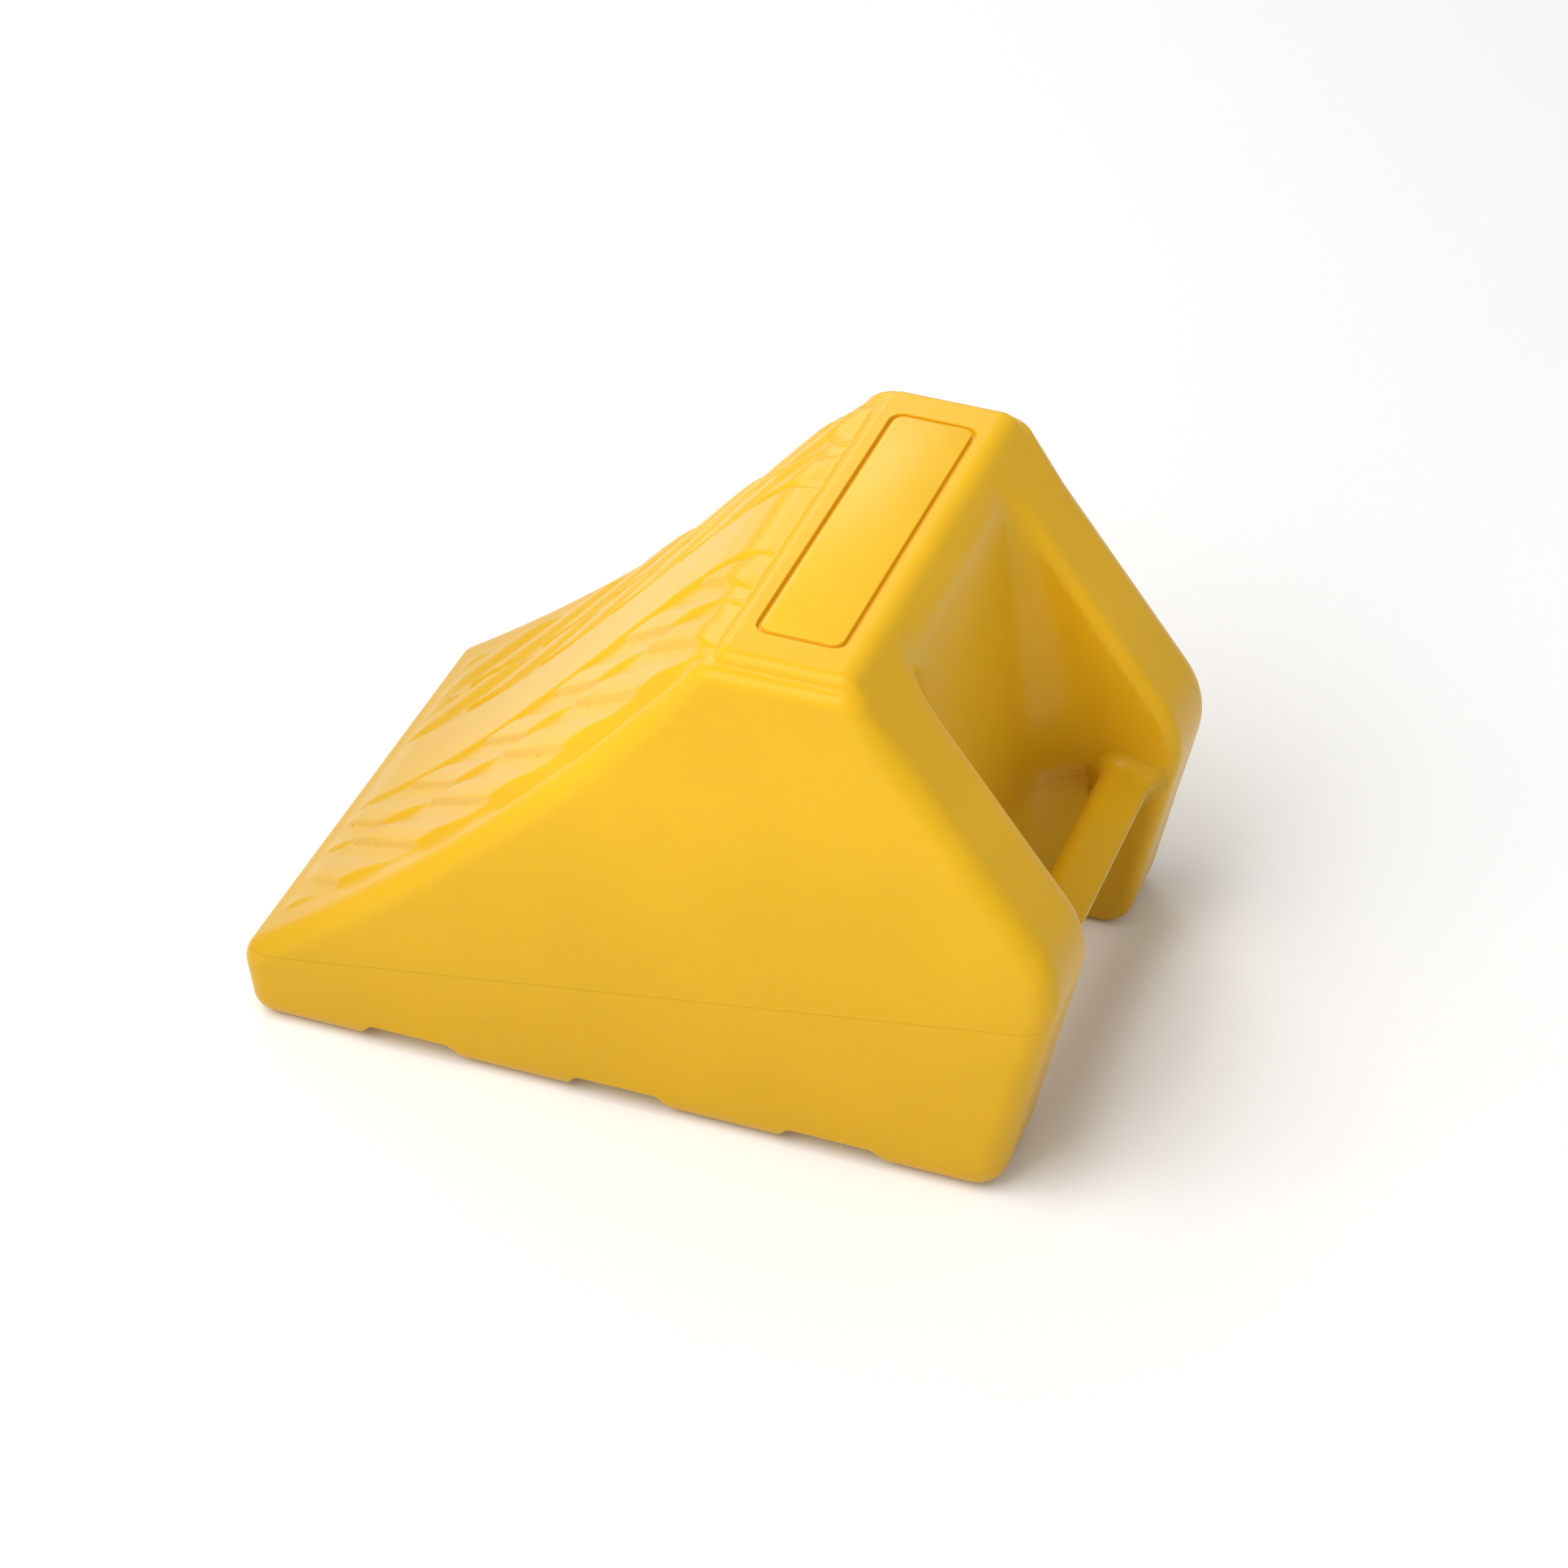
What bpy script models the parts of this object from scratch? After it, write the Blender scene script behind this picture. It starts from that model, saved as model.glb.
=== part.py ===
"""Wheel chock for trucks and trailers: a hollow moulded wedge with a hand hole.

Two moulded shells meet on a sloping parting line. The upper one carries the ribbed, slightly
hollow tyre face, the flat top and the hand pocket, and the lower one carries the ground pads.
A grip bar lies across the hand hole, with its ends trapped between the shells, and four
cross-halved ribs stand inside the hollow, under the tyre face.

Metres, +Z up. The nose points to -X and the width lies along Y. The origin is on the ground,
under the centre of the whole chock.
"""
from math import cos, radians, sin, sqrt, tan

import bmesh
import bpy
from mathutils import Vector

# ---- Driving dimensions -------------------------------------------------------------------
# Side profile: corners of the wedge before they are rounded, in the XZ plane.
NOSE_FOOT = (-0.1554, 0.0)
NOSE_TIP = (-0.1592, 0.0281)
TOP_FRONT = (0.0268, 0.2063)
TOP_REAR = (0.0808, 0.2063)
BEND = (0.1610, 0.0989)
HEEL = (0.1414, 0.0)
TOP_HEIGHT = 0.2090
FACE_HOLLOW = 0.0090
NOSE_RADIUS = 0.0105
TOP_RADIUS = 0.0090
BEND_RADIUS = 0.0370
HEEL_RADIUS = 0.0130

# Width: half of it at the nose's foot, and how it narrows to the rear and to the top.
HALF_WIDTH = 0.1072
TAPER_REAR = 0.021
TAPER_UP = 0.038
SIDE_RADIUS = 0.0085
SIDE_STEPS = 4

WALL = 0.006
GAP = 0.0003
UNDERSIDE = 0.004

# Parting line, from the nose to the rear of the bend.
PARTING_NOSE = (-0.1592, 0.0290)
PARTING_REAR = (0.1610, 0.0810)
LIP_THICKNESS = 0.003
LIP_HEIGHT = 0.005
LIP_ROOT = 0.008

# Hand hole: its front wall leans back, and it opens to the rear slope and to the ground.
HAND_HALF_WIDTH = 0.0560
HAND_FRONT = [(0.0993, -0.0200), (0.1048, 0.0800), (0.0878, 0.1985)]

# Grip bar section, and the tenon at each of its ends.
BAR_SECTION = [(0.1283, 0.0720), (0.1323, 0.0620), (0.1403, 0.0620),
               (0.1496, 0.0785), (0.1498, 0.0810), (0.1303, 0.0872)]
TENON_LOW = (0.1328, 0.0680)
TENON_HIGH = (0.1438, 0.0800)

# Raised cap on the top, and the label plate let into it.
CAP_FRONT = 0.0283
CAP_REAR = 0.0793
CAP_FOOT_REAR = 0.0848
CAP_FOOT = 0.2000
CAP_HALF_LENGTH = 0.0905
CAP_BEVEL = 0.0025
LABEL_CENTRE_X = 0.0543
LABEL_SIZE = (0.0300, 0.1420, 0.0020)
LABEL_RADIUS = 0.0040
LABEL_GROOVE = 0.0014

# Tread on the tyre face: a raised crown with a flat band along its middle. On each side of the
# band the crown falls away in two lanes, and slanting lugs rise to each lane's outer edge.
CROWN_STATIONS = [(0.010, 0.0005), (0.024, 0.0022), (0.060, 0.0036), (0.090, 0.0052),
                  (0.120, 0.0076), (0.150, 0.0096), (0.180, 0.0108), (0.208, 0.0105),
                  (0.229, 0.0088), (0.242, 0.0003)]
BAND_HALF_WIDTH = 0.0212
BAND_STEP = 0.0014
LANE_EDGES = [0.0220, 0.0500, 0.0845]
LANE_SHARES = [0.94, 0.80, 0.48]
LUG_RISE = 0.0017
LUG_LANES = [(0.0225, 0.0498, 0.0470), (0.0490, 0.0840, 0.0430)]
LUG_PITCH = 0.0434
LUG_SLANT = 1.70
LUG_FALL = 0.0340
LUG_START = 0.0120
ROOT = 0.0035

# Ground pads: centres and length along X, end slope, and the key on each pad's back.
PAD_PITCH = 0.0835
PAD_FIRST_X = -0.1307
PAD_LENGTH = 0.0390
PAD_END_SLOPE = 0.0030
PAD_KEY = (0.0160, 0.1300, 0.0030)
HEEL_KEY_Y = (0.0680, 0.0880)

# Ribs inside the hollow.
RIB_THICKNESS = 0.005
LONG_RIB_Y = 0.036
LONG_RIB_X = (-0.1307, 0.0913)
CROSS_RIB_X = (-0.0607, 0.0193)
CROSS_RIB_CLEARANCE = 0.0045
RIB_NOTCH_Z = (0.0560, 0.0980)

# Vent plug in the floor, between two pads.
PLUG_X = -0.0047
PLUG_STEM_RADIUS = 0.0057
PLUG_HEAD_RADIUS = 0.0090
PLUG_HEAD_LOW = 0.0016
PLUG_TOP = 0.0125

BIG = 0.5


# ---- Materials ----------------------------------------------------------------------------
def plastic(name, colour, roughness):
    """A plain moulded plastic or rubber."""
    material = bpy.data.materials.new(name)
    material.use_nodes = True
    shader = material.node_tree.nodes["Principled BSDF"]
    shader.inputs["Base Color"].default_value = (*colour, 1.0)
    shader.inputs["Roughness"].default_value = roughness
    shader.inputs["Metallic"].default_value = 0.0
    material.diffuse_color = (*colour, 1.0)
    return material


# ---- Outlines in the XZ plane -------------------------------------------------------------
def rounded(corners, radii, steps=5):
    """Replace each corner of a closed outline by an arc of its radius."""
    outline = []
    for index, (corner, radius) in enumerate(zip(corners, radii)):
        here = Vector(corner)
        if radius == 0.0:
            outline.append(here)
            continue
        back = (Vector(corners[index - 1]) - here).normalized()
        ahead = (Vector(corners[(index + 1) % len(corners)]) - here).normalized()
        half_angle = back.angle(ahead) / 2
        centre = here + (back + ahead).normalized() * (radius / sin(half_angle))
        start = here + back * (radius / tan(half_angle)) - centre
        end = here + ahead * (radius / tan(half_angle)) - centre
        for step in range(steps + 1):
            outline.append(centre + start.slerp(end, step / steps).normalized() * radius)
    return outline


def hollow_face(start, end, depth, steps=12):
    """Points strictly between start and end on an arc that sinks by depth into the body."""
    low = Vector(start)
    chord = Vector(end) - low
    length = chord.length
    along = chord / length
    inward = Vector((along.y, -along.x))
    radius = (length ** 2 / 4 + depth ** 2) / (2 * depth)
    points = []
    for step in range(1, steps):
        run = length * step / steps
        sink = sqrt(radius ** 2 - (run - length / 2) ** 2) - (radius - depth)
        points.append(low + along * run + inward * sink)
    return points


def side_profile():
    """The wedge's outline, clockwise seen from -Y, with its tyre face hollowed."""
    corners = [NOSE_FOOT, NOSE_TIP, TOP_FRONT, TOP_REAR, BEND, HEEL]
    radii = [NOSE_RADIUS, NOSE_RADIUS, TOP_RADIUS, TOP_RADIUS, BEND_RADIUS, HEEL_RADIUS]
    outline = rounded(corners, radii)
    arc = len(outline) // len(corners)
    face_start = 2 * arc
    arc_points = hollow_face(outline[face_start - 1], outline[face_start], FACE_HOLLOW)
    return outline[:face_start] + arc_points + outline[face_start:]


def inset(outline, distance):
    """Move each edge of a clockwise outline inwards by distance."""
    moved = []
    count = len(outline)
    for index, here in enumerate(outline):
        into = (here - outline[index - 1]).normalized()
        out_of = (outline[(index + 1) % count] - here).normalized()
        normal_in = Vector((into.y, -into.x))
        normal_out = Vector((out_of.y, -out_of.x))
        mitre = (normal_in + normal_out).normalized()
        moved.append(here + mitre * (distance / mitre.dot(normal_in)))
    return moved


def parting_height(x):
    """Height of the parting line at x."""
    run = PARTING_REAR[0] - PARTING_NOSE[0]
    rise = PARTING_REAR[1] - PARTING_NOSE[1]
    return PARTING_NOSE[1] + rise * (x - PARTING_NOSE[0]) / run


def half_width(x, z):
    """Half of the chock's width at a point of its profile."""
    return HALF_WIDTH - TAPER_REAR * (x - NOSE_TIP[0]) - TAPER_UP * z


# ---- Mesh helpers -------------------------------------------------------------------------
def finish_mesh(name, mesh_data, material=None):
    """Make an object from a bmesh; without a material it is a hidden cutter."""
    bmesh.ops.recalc_face_normals(mesh_data, faces=mesh_data.faces)
    mesh = bpy.data.meshes.new(name)
    mesh_data.to_mesh(mesh)
    mesh_data.free()
    thing = bpy.data.objects.new(name, mesh)
    bpy.context.scene.collection.objects.link(thing)
    if material:
        mesh.materials.append(material)
    else:
        thing.hide_render = True
        thing.display_type = "WIRE"
    return thing


def add_prism(mesh_data, outline, side):
    """Add a closed prism; side(x, z) gives the low and high y of each outline point."""
    rings = ([], [])
    for x, z in outline:
        for ring, y in zip(rings, side(x, z)):
            ring.append(mesh_data.verts.new((x, y, z)))
    caps = [mesh_data.faces.new(ring) for ring in rings]
    count = len(outline)
    for index in range(count):
        after = (index + 1) % count
        near, far = rings
        mesh_data.faces.new((near[index], near[after], far[after], far[index]))
    return caps


def prism(name, outline, y_low, y_high, material=None):
    """A straight prism across the chock."""
    mesh_data = bmesh.new()
    add_prism(mesh_data, outline, lambda x, z: (y_low, y_high))
    return finish_mesh(name, mesh_data, material)


def block(name, low, high, material=None):
    """A box from its lowest to its highest corner."""
    outline = [(low[0], low[2]), (low[0], high[2]), (high[0], high[2]), (high[0], low[2])]
    return prism(name, outline, low[1], high[1], material)


def wedge(name, material=None):
    """The whole outer shape, with its side edges rounded."""
    profile = side_profile()
    steps = [radians(90.0 * step / SIDE_STEPS) for step in range(SIDE_STEPS + 1)]
    near = [(-1, SIDE_RADIUS * (1 - cos(turn)), SIDE_RADIUS * (1 - sin(turn))) for turn in steps]
    far = [(1, depth, back) for side, depth, back in near]
    mesh_data = bmesh.new()
    rings = []
    for side, depth, back in near[::-1] + far:
        rings.append([mesh_data.verts.new((point.x, side * (half_width(*point) - back), point.y))
                      for point in inset(profile, depth)])
    mesh_data.faces.new(rings[0])
    mesh_data.faces.new(rings[-1])
    for ring, after in zip(rings, rings[1:]):
        for index in range(len(ring)):
            mesh_data.faces.new((ring[index - 1], ring[index], after[index], after[index - 1]))
    return finish_mesh(name, mesh_data, material)


def boolean(target, tool, operation):
    """Combine target with tool by an exact Boolean."""
    modifier = target.modifiers.new(tool.name, "BOOLEAN")
    modifier.operation = operation
    modifier.solver = "EXACT"
    modifier.object = tool


def smooth(thing, degrees=35.0):
    """Shade a piece smooth, with its real corners kept sharp."""
    thing.data.shade_smooth()
    thing.data.set_sharp_from_angle(angle=radians(degrees))


# ---- Shared cutters -----------------------------------------------------------------------
def hand_space(name, growth):
    """The hand hole's space, grown on its front and sides by the wall that bounds it."""
    low, middle, high = [Vector(point) for point in HAND_FRONT]
    lower_run = (middle - low).normalized()
    upper_run = (high - middle).normalized()
    lower_out = Vector((-lower_run.y, lower_run.x)) * growth
    upper_out = Vector((-upper_run.y, upper_run.x)) * growth
    slope = (Vector(BEND) - Vector(TOP_REAR)).normalized()
    top = high + upper_out - slope * growth
    beyond = top + Vector((-slope.y, slope.x)) * BIG
    outline = [low + lower_out, middle + (lower_out + upper_out) / 2, top, beyond,
               Vector((BIG, low.y))]
    reach = HAND_HALF_WIDTH + growth
    return prism(name, outline, -reach, reach)


def hollow(name, extra):
    """The space inside the walls, inset by extra more, clear of the hand hole's walls."""
    outline = inset(side_profile(), WALL + extra)
    floor = UNDERSIDE + WALL + extra
    outline = [Vector((point.x, max(point.y, floor))) for point in outline]
    unique = [point for index, point in enumerate(outline)
              if (point - outline[index - 1]).length > 1e-5]
    depth = WALL + extra
    mesh_data = bmesh.new()
    add_prism(mesh_data, unique,
              lambda x, z: (depth - half_width(x, z), half_width(x, z) - depth))
    space = finish_mesh(name, mesh_data)
    boolean(space, hand_space(name + "_hand", depth), "DIFFERENCE")
    return space


def parting_slab(name, below, above):
    """The space between two levels measured from the parting line."""
    left = -BIG
    right = BIG
    outline = [(left, parting_height(left) + below), (left, parting_height(left) + above),
               (right, parting_height(right) + above), (right, parting_height(right) + below)]
    return prism(name, outline, -BIG, BIG)


def tenon_socket():
    """Slots in the hand hole's side walls for the grip bar's ends."""
    reach = HAND_HALF_WIDTH + WALL + GAP
    low = (TENON_LOW[0] - GAP, -reach, TENON_LOW[1] - GAP)
    high = (TENON_HIGH[0] + GAP, reach, TENON_HIGH[1] + GAP)
    return block("tenon_socket", low, high)


# ---- Tread --------------------------------------------------------------------------------
def face_point(run, height):
    """A point of the tyre face: run up its chord from the nose, height above its surface."""
    low = Vector(NOSE_TIP)
    chord = Vector(TOP_FRONT) - low
    along = chord.normalized()
    inward = Vector((along.y, -along.x))
    length = chord.length
    sink = FACE_HOLLOW * (1 - (2 * run / length - 1) ** 2)
    return low + along * run + inward * (sink - height)


def crown_height(run):
    """How far the middle band stands above the tyre face."""
    for (low, low_height), (high, high_height) in zip(CROWN_STATIONS, CROWN_STATIONS[1:]):
        if run <= high:
            return low_height + (high_height - low_height) * (run - low) / (high - low)
    return 0.0


def lane_height(run, y):
    """How far the floor of the lanes stands above the tyre face."""
    inner_y, middle_y, outer_y = LANE_EDGES
    inner, middle, outer = LANE_SHARES
    if y < middle_y:
        share = inner + (middle - inner) * (y - inner_y) / (middle_y - inner_y)
    else:
        share = middle + (outer - middle) * (y - middle_y) / (outer_y - middle_y)
    return max(0.0, crown_height(run) * share - BAND_STEP * min(1.0, crown_height(run) / 0.004))


def tread_crown():
    """The crown: a flat band along the middle, and lanes that fall away to the sides."""
    rings = []
    mesh_data = bmesh.new()
    for run, height in CROWN_STATIONS:
        lanes = [(y, lane_height(run, y)) for y in LANE_EDGES[::-1]]
        section = [(-y, rise) for y, rise in lanes]
        section += [(-BAND_HALF_WIDTH, height), (BAND_HALF_WIDTH, height)]
        section += lanes[::-1]
        section += [(LANE_EDGES[2], -ROOT), (-LANE_EDGES[2], -ROOT)]
        ring = []
        for y, rise in section:
            x, z = face_point(run, rise)
            ring.append(mesh_data.verts.new((x, y, z)))
        rings.append(ring)
    mesh_data.faces.new(rings[0])
    mesh_data.faces.new(rings[-1])
    for ring, after in zip(rings, rings[1:]):
        for index in range(len(ring)):
            mesh_data.faces.new((ring[index - 1], ring[index], after[index], after[index - 1]))
    return finish_mesh("tread_crown", mesh_data)


def add_lug(mesh_data, peak_run, inner_y, outer_y, side):
    """One lug: a wedge that is highest at its outer corner, nearest the nose."""
    start_run = max(LUG_START, peak_run - LUG_SLANT * (outer_y - inner_y))
    start_y = outer_y - (peak_run - start_run) / LUG_SLANT
    end_run = peak_run + LUG_FALL
    corners = [(start_run, start_y, lane_height(start_run, start_y) + GAP),
               (peak_run, outer_y, lane_height(peak_run, outer_y) + LUG_RISE),
               (end_run, outer_y, lane_height(end_run, outer_y) - GAP)]
    crest = []
    root = []
    for run, y, rise in corners:
        x, z = face_point(run, rise)
        crest.append(mesh_data.verts.new((x, y * side, z)))
        x, z = face_point(run, -ROOT)
        root.append(mesh_data.verts.new((x, y * side, z)))
    mesh_data.faces.new(root)
    mesh_data.faces.new(crest)
    for index in range(3):
        mesh_data.faces.new((root[index - 1], root[index], crest[index], crest[index - 1]))


def tread_lugs(lane):
    """The lugs of one lane, on both sides, as one tool."""
    inner_y, outer_y, peak = LUG_LANES[lane]
    mesh_data = bmesh.new()
    while peak < CROWN_STATIONS[-2][0]:
        for side in (-1, 1):
            add_lug(mesh_data, peak, inner_y, outer_y, side)
        peak += LUG_PITCH
    return finish_mesh("tread_lugs", mesh_data)


# ---- Shells -------------------------------------------------------------------------------
def top_cap():
    """The raised plateau on the top."""
    outline = [(CAP_FRONT, CAP_FOOT), (CAP_FRONT, TOP_HEIGHT), (CAP_REAR, TOP_HEIGHT),
               (CAP_FOOT_REAR, CAP_FOOT)]
    mesh_data = bmesh.new()
    add_prism(mesh_data, outline, lambda x, z: (-CAP_HALF_LENGTH, CAP_HALF_LENGTH))
    upper = [edge for edge in mesh_data.edges
             if max(vert.co.z for vert in edge.verts) > TOP_HEIGHT - 1e-6]
    bmesh.ops.bevel(mesh_data, geom=upper, offset=CAP_BEVEL, segments=2, profile=0.5,
                    affect="EDGES")
    return finish_mesh("top_cap", mesh_data)


def rounded_plate(name, size, radius, centre, low, high, material=None):
    """A flat plate with round corners, lying between two levels."""
    half_x = size[0] / 2
    half_y = size[1] / 2
    corners = [(-half_x, -half_y), (half_x, -half_y), (half_x, half_y), (-half_x, half_y)]
    outline = rounded(corners, [radius] * 4, steps=4)
    mesh_data = bmesh.new()
    ring = [mesh_data.verts.new((centre + point.x, point.y, low)) for point in outline]
    base = mesh_data.faces.new(ring)
    grown = bmesh.ops.extrude_face_region(mesh_data, geom=[base])
    lifted = [item for item in grown["geom"] if isinstance(item, bmesh.types.BMVert)]
    bmesh.ops.translate(mesh_data, verts=lifted, vec=(0.0, 0.0, high - low))
    return finish_mesh(name, mesh_data, material)


def label_recess():
    """The recess for the label plate, wider than the plate by the groove around it."""
    size = (LABEL_SIZE[0] + 2 * LABEL_GROOVE, LABEL_SIZE[1] + 2 * LABEL_GROOVE)
    floor = TOP_HEIGHT - LABEL_SIZE[2] - GAP
    return rounded_plate("label_recess", size, LABEL_RADIUS + LABEL_GROOVE, LABEL_CENTRE_X,
                         floor, TOP_HEIGHT + 0.01)


def upper_shell(hand, socket, inside):
    """The upper moulding."""
    shell = wedge("upper_shell", plastic("upper_shell_plastic", (0.91, 0.54, 0.03), 0.42))
    boolean(shell, top_cap(), "UNION")
    boolean(shell, tread_crown(), "UNION")
    boolean(shell, tread_lugs(0), "UNION")
    boolean(shell, tread_lugs(1), "UNION")
    boolean(shell, parting_slab("upper_side", GAP, BIG), "INTERSECT")
    boolean(shell, hand, "DIFFERENCE")
    boolean(shell, inside, "DIFFERENCE")
    boolean(shell, label_recess(), "DIFFERENCE")
    boolean(shell, socket, "DIFFERENCE")
    smooth(shell)
    return shell


def base_shell(hand, socket):
    """The lower moulding: a tray with a locating lip that stands up inside the upper one."""
    shell = wedge("base_shell", plastic("base_shell_plastic", (0.88, 0.51, 0.03), 0.45))
    boolean(shell, parting_slab("lower_side", -BIG, 0.0), "INTERSECT")
    boolean(shell, block("above_underside", (-BIG, -BIG, UNDERSIDE), (BIG, BIG, BIG)), "INTERSECT")
    boolean(shell, hand, "DIFFERENCE")
    tray = hollow("tray", 0.0)
    boolean(tray, parting_slab("tray_side", -BIG, -LIP_ROOT), "INTERSECT")
    boolean(shell, tray, "DIFFERENCE")
    lip = hollow("lip", GAP)
    boolean(lip, parting_slab("lip_side", -LIP_ROOT - LIP_THICKNESS, LIP_HEIGHT), "INTERSECT")
    boolean(shell, lip, "UNION")
    boolean(shell, hollow("lip_bore", LIP_THICKNESS), "DIFFERENCE")
    boolean(shell, socket, "DIFFERENCE")
    for low, high in pad_keys(GAP):
        boolean(shell, block("key_recess", low, high), "DIFFERENCE")
    boolean(shell, cylinder("plug_hole", PLUG_STEM_RADIUS + GAP, 0.0, UNDERSIDE + 2 * WALL),
            "DIFFERENCE")
    smooth(shell)
    return shell


# ---- Ground pads --------------------------------------------------------------------------
PAD_NAMES = ["ground_pad_nose", "ground_pad_front", "ground_pad_rear",
             "ground_pad_heel_left", "ground_pad_heel_right"]


def pad_centre(number):
    """Centre of a pad along X; the two heel pads share the last place."""
    return PAD_FIRST_X + PAD_PITCH * min(number, 3)


def pad_side(number):
    """-1 and 1 for the left and right heel pads, 0 for a pad of full width."""
    return {3: -1, 4: 1}.get(number, 0)


def pad_keys(growth):
    """Low and high corners of each pad's key, grown by a clearance."""
    keys = []
    for number in range(len(PAD_NAMES)):
        centre = pad_centre(number)
        side = pad_side(number)
        inner, outer = -PAD_KEY[1] / 2, PAD_KEY[1] / 2
        if side:
            inner, outer = sorted((side * HEEL_KEY_Y[0], side * HEEL_KEY_Y[1]))
        half_x = PAD_KEY[0] / 2 + growth
        low = (centre - half_x, inner - growth, UNDERSIDE - GAP - 0.001)
        high = (centre + half_x, outer + growth, UNDERSIDE - GAP + PAD_KEY[2] + growth)
        keys.append((low, high))
    return keys


def ground_pads(hand_clear):
    """The pads, each cut from the wedge's own outer shape, with a key on its back."""
    top = UNDERSIDE - GAP
    keys = pad_keys(0.0)
    pads = []
    for number, name in enumerate(PAD_NAMES):
        pad = wedge(name, plastic(name + "_plastic", (0.86, 0.50, 0.03), 0.55))
        centre = pad_centre(number)
        side = pad_side(number)
        half_top = PAD_LENGTH / 2 + PAD_END_SLOPE
        front = -BIG if number == 0 else centre - half_top
        front_foot = -BIG if number == 0 else centre - PAD_LENGTH / 2
        rear = BIG if side else centre + half_top
        rear_foot = BIG if side else centre + PAD_LENGTH / 2
        outline = [(front_foot, 0.0), (front, top), (rear, top), (rear_foot, 0.0)]
        outline = [(x, z if z else -0.01) for x, z in outline]
        y_low = 0.0 if side > 0 else -BIG
        y_high = 0.0 if side < 0 else BIG
        boolean(pad, prism(name + "_space", outline, y_low, y_high), "INTERSECT")
        if side:
            boolean(pad, hand_clear, "DIFFERENCE")
        boolean(pad, block(name + "_key", *keys[number]), "UNION")
        smooth(pad)
        pads.append(pad)
    return pads


# ---- Grip bar, label plate, plug ----------------------------------------------------------
def grip_bar():
    """The bar that the fingers close on, with a tenon at each end."""
    material = plastic("grip_bar_plastic", (0.89, 0.52, 0.03), 0.45)
    mesh_data = bmesh.new()
    reach = HAND_HALF_WIDTH - GAP
    add_prism(mesh_data, BAR_SECTION, lambda x, z: (-reach, reach))
    edges = [edge for edge in mesh_data.edges
             if abs(edge.verts[0].co.y - edge.verts[1].co.y) > reach]
    bmesh.ops.bevel(mesh_data, geom=edges, offset=0.0008, segments=2, profile=0.5,
                    affect="EDGES")
    bar = finish_mesh("grip_bar", mesh_data, material)
    tenon_reach = HAND_HALF_WIDTH + WALL - GAP
    boolean(bar, block("tenons", (TENON_LOW[0], -tenon_reach, TENON_LOW[1]),
                       (TENON_HIGH[0], tenon_reach, TENON_HIGH[1])), "UNION")
    smooth(bar)
    return bar


def label_plate():
    """The blank plate, flush with the cap around it."""
    material = plastic("label_plate_plastic", (0.93, 0.58, 0.06), 0.40)
    return rounded_plate("label_plate", LABEL_SIZE, LABEL_RADIUS, LABEL_CENTRE_X,
                         TOP_HEIGHT - LABEL_SIZE[2], TOP_HEIGHT, material)


def cylinder(name, radius, low, high, material=None):
    """An upright cylinder on the plug's axis."""
    mesh_data = bmesh.new()
    bmesh.ops.create_cone(mesh_data, cap_ends=True, segments=32, radius1=radius, radius2=radius,
                          depth=high - low)
    bmesh.ops.translate(mesh_data, verts=mesh_data.verts, vec=(PLUG_X, 0.0, (low + high) / 2))
    return finish_mesh(name, mesh_data, material)


def vent_plug():
    """The push-in plug in the floor."""
    head_top = UNDERSIDE - GAP
    plug = cylinder("vent_plug", PLUG_HEAD_RADIUS, PLUG_HEAD_LOW, head_top,
                    plastic("vent_plug_rubber", (0.02, 0.02, 0.02), 0.7))
    boolean(plug, cylinder("plug_stem", PLUG_STEM_RADIUS, PLUG_HEAD_LOW + 0.001, PLUG_TOP),
            "UNION")
    smooth(plug)
    return plug


# ---- Ribs ---------------------------------------------------------------------------------
def long_rib(name, y, inside):
    """A lengthwise rib, notched from above where the cross ribs pass."""
    half = RIB_THICKNESS / 2
    rib = block(name, (LONG_RIB_X[0], y - half, 0.0), (LONG_RIB_X[1], y + half, BIG),
                plastic(name + "_plastic", (0.75, 0.73, 0.66), 0.5))
    boolean(rib, inside, "INTERSECT")
    for x, notch in zip(CROSS_RIB_X, RIB_NOTCH_Z):
        slot = block(name + "_notch", (x - half - GAP, y - BIG, notch - GAP),
                     (x + half + GAP, y + BIG, BIG))
        boolean(rib, slot, "DIFFERENCE")
    return rib


def cross_rib(name, x, notch, inside):
    """A cross rib, notched from below over the lengthwise ribs."""
    half = RIB_THICKNESS / 2
    reach = half_width(x, 0.0) - WALL - CROSS_RIB_CLEARANCE - TAPER_UP * TOP_HEIGHT
    rib = block(name, (x - half, -reach, 0.0), (x + half, reach, BIG),
                plastic(name + "_plastic", (0.75, 0.73, 0.66), 0.5))
    boolean(rib, inside, "INTERSECT")
    for side in (-1, 1):
        y = side * LONG_RIB_Y
        slot = block(name + "_notch", (x - BIG, y - half - GAP, -BIG),
                     (x + BIG, y + half + GAP, notch + GAP))
        boolean(rib, slot, "DIFFERENCE")
    return rib


# ---- Assembly -----------------------------------------------------------------------------
def main():
    for thing in list(bpy.data.objects):
        bpy.data.objects.remove(thing)
    hand = hand_space("hand_space", 0.0)
    socket = tenon_socket()
    ground_pads(hand)
    upper_shell(hand, socket, hollow("hollow", 0.0))
    base_shell(hand, socket)
    grip_bar()
    label_plate()
    vent_plug()
    rib_space = hollow("rib_space", GAP)
    long_rib("load_rib_left", -LONG_RIB_Y, rib_space)
    long_rib("load_rib_right", LONG_RIB_Y, rib_space)
    names = ("cross_rib_front", "cross_rib_rear")
    for name, x, notch in zip(names, CROSS_RIB_X, RIB_NOTCH_Z):
        cross_rib(name, x, notch, rib_space)


main()
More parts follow.
